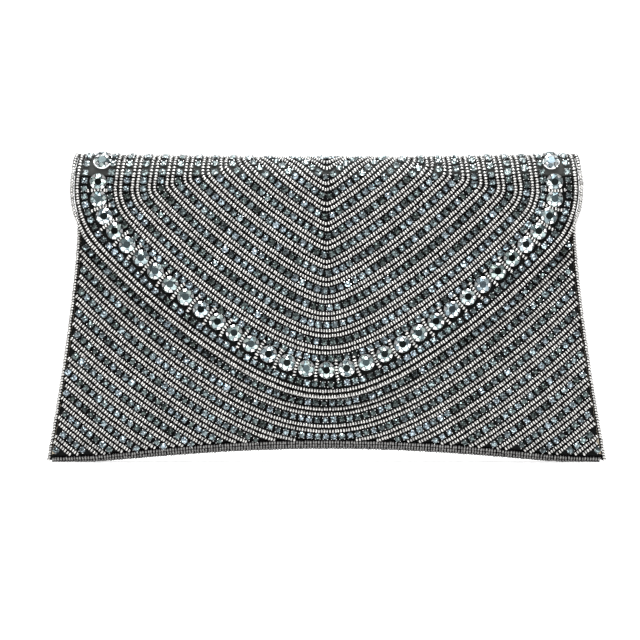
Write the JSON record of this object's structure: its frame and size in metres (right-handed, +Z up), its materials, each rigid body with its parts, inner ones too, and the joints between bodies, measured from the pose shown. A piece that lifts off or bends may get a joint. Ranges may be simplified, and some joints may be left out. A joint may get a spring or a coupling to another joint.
{
  "type": "beaded envelope clutch purse",
  "caption": "Evening clutch purse covered in seed beads, with a curved flap edged in claw-set stones and closed by a magnetic snap",
  "frame": {"origin": "centre of the purse's box, at floor level: the purse stands on its two flat bottom corners", "axes": "+Z up, the front with the flap faces -Y, +X along the fold"},
  "size_m": [0.266, 0.0382, 0.1479],
  "materials": {
    "satin": "dark grey satin, soft sheen",
    "board": "stiffener board",
    "lining": "grey satin lining",
    "beads": "silver-lined glass seed beads, bright and slightly warm",
    "settings": "bright silver plated claw settings",
    "stones": "foil-backed smoky blue-grey cut glass",
    "snap_steel": "nickel plated steel",
    "magnet": "ferrite ring magnet"
  },
  "bodies": {
    "pouch": {"front_fabric": "satin", "front_board": "board", "front_lining": "lining", "front_beadwork": "beads", "back_fabric": "satin", "back_board": "board", "back_lining": "lining", "back_beadwork": "beads", "left_gusset": "lining", "right_gusset": "lining", "left_seam_beads": "beads", "right_seam_beads": "beads", "mouth_binding": "satin", "pocket_panel": "lining", "pocket_hem": "lining", "snap_socket": "snap_steel", "snap_magnet": "magnet", "socket_washer": "snap_steel"},
    "fold": {"fold_fabric": "satin", "fold_lining": "lining", "fold_beadwork": "beads", "fold_stay": "board", "fold_stone_cups": "settings", "fold_stones": "stones"},
    "flap": {"flap_fabric": "satin", "flap_board": "board", "flap_lining": "lining", "flap_edge_beads": "beads", "flap_edge_beadwork": "beads", "flap_field_beadwork": "beads", "flap_stone_cups": "settings", "flap_stones": "stones", "flap_bead_arcs": "beads", "snap_stud": "snap_steel", "stud_washer": "snap_steel"}
  },
  "joints": [
    {"name": "fold_hinge", "type": "hinge", "parent": "pouch", "child": "fold", "pos_m": [0, 0.00892, 0.14129], "axis": [-1, 0, 0], "range_deg": [0, 90], "deforming": ["fold_fabric", "fold_lining", "fold_beadwork"]},
    {"name": "flap_hinge", "type": "hinge", "parent": "fold", "child": "flap", "pos_m": [0, -0.00577, 0.14129], "axis": [-1, 0, 0], "range_deg": [0, 90]}
  ],
  "couplings": [
    {"joint": "flap_hinge", "follows": "fold_hinge", "ratio": 1}
  ]
}
